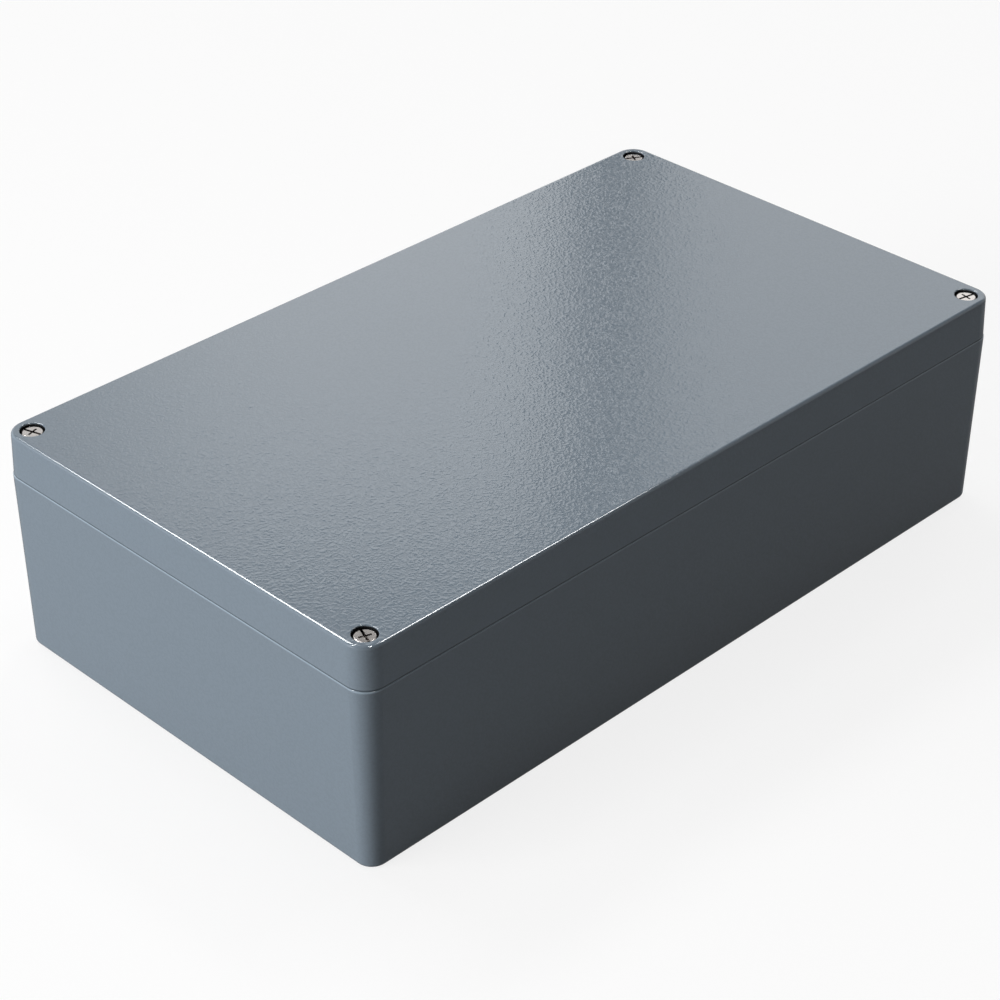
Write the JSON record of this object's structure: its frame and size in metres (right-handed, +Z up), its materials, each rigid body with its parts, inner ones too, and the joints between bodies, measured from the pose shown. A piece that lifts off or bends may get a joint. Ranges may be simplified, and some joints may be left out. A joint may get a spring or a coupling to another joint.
{
  "type": "die cast aluminium enclosure",
  "caption": "Rectangular die cast aluminium box with a textured grey coat and a skirted lid held by recessed captive corner screws.",
  "frame": {"origin": "middle of the underside, on the surface the box stands on", "axes": "+X along the length to the right, +Y along the width to the back, +Z up through the lid"},
  "size_m": [0.4, 0.23, 0.11],
  "materials": {
    "coated_casting": "satin",
    "gasket_rubber": "matte",
    "stainless": "satin",
    "ring_nylon": "satin",
    "zinc_plate": "satin"
  },
  "bodies": {
    "base": {"base_casting": "coated_casting", "earth_screw_base": "zinc_plate", "earth_lock_washer_base": "stainless", "earth_washer_base": "zinc_plate", "earth_yoke_base": "zinc_plate"},
    "lid": {"lid_casting": "coated_casting", "lid_gasket": "gasket_rubber", "earth_screw_lid": "zinc_plate", "earth_lock_washer_lid": "stainless", "earth_washer_lid": "zinc_plate", "earth_yoke_lid": "zinc_plate"},
    "ring_front_left": {"retaining_ring_front_left": "ring_nylon"},
    "screw_front_left": {"lid_screw_front_left": "stainless"},
    "ring_front_right": {"retaining_ring_front_right": "ring_nylon"},
    "screw_front_right": {"lid_screw_front_right": "stainless"},
    "ring_back_left": {"retaining_ring_back_left": "ring_nylon"},
    "screw_back_left": {"lid_screw_back_left": "stainless"},
    "ring_back_right": {"retaining_ring_back_right": "ring_nylon"},
    "screw_back_right": {"lid_screw_back_right": "stainless"}
  },
  "joints": [
    {"name": "lid_lift", "type": "slide", "parent": "base", "child": "lid", "axis": [0, 0, 1], "range_m": [0, 0.12]},
    {"name": "screw_rise_front_left", "type": "slide", "parent": "lid", "child": "ring_front_left", "axis": [0, 0, 1], "range_m": [0, 0.011]},
    {"name": "screw_turn_front_left", "type": "hinge", "parent": "ring_front_left", "child": "screw_front_left", "pos_m": [-0.19, -0.105, 0.1052], "axis": [0, 0, 1], "range_deg": [0, 4951]},
    {"name": "screw_rise_front_right", "type": "slide", "parent": "lid", "child": "ring_front_right", "axis": [0, 0, 1], "range_m": [0, 0.011]},
    {"name": "screw_turn_front_right", "type": "hinge", "parent": "ring_front_right", "child": "screw_front_right", "pos_m": [0.19, -0.105, 0.1052], "axis": [0, 0, 1], "range_deg": [0, 4951]},
    {"name": "screw_rise_back_left", "type": "slide", "parent": "lid", "child": "ring_back_left", "axis": [0, 0, 1], "range_m": [0, 0.011]},
    {"name": "screw_turn_back_left", "type": "hinge", "parent": "ring_back_left", "child": "screw_back_left", "pos_m": [-0.19, 0.105, 0.1052], "axis": [0, 0, 1], "range_deg": [0, 4951]},
    {"name": "screw_rise_back_right", "type": "slide", "parent": "lid", "child": "ring_back_right", "axis": [0, 0, 1], "range_m": [0, 0.011]},
    {"name": "screw_turn_back_right", "type": "hinge", "parent": "ring_back_right", "child": "screw_back_right", "pos_m": [0.19, 0.105, 0.1052], "axis": [0, 0, 1], "range_deg": [0, 4951]}
  ],
  "couplings": [
    {"joint": "screw_turn_front_left", "follows": "screw_rise_front_left", "rad_per_m": 7854},
    {"joint": "screw_turn_front_right", "follows": "screw_rise_front_right", "rad_per_m": 7854},
    {"joint": "screw_turn_back_left", "follows": "screw_rise_back_left", "rad_per_m": 7854},
    {"joint": "screw_turn_back_right", "follows": "screw_rise_back_right", "rad_per_m": 7854}
  ]
}
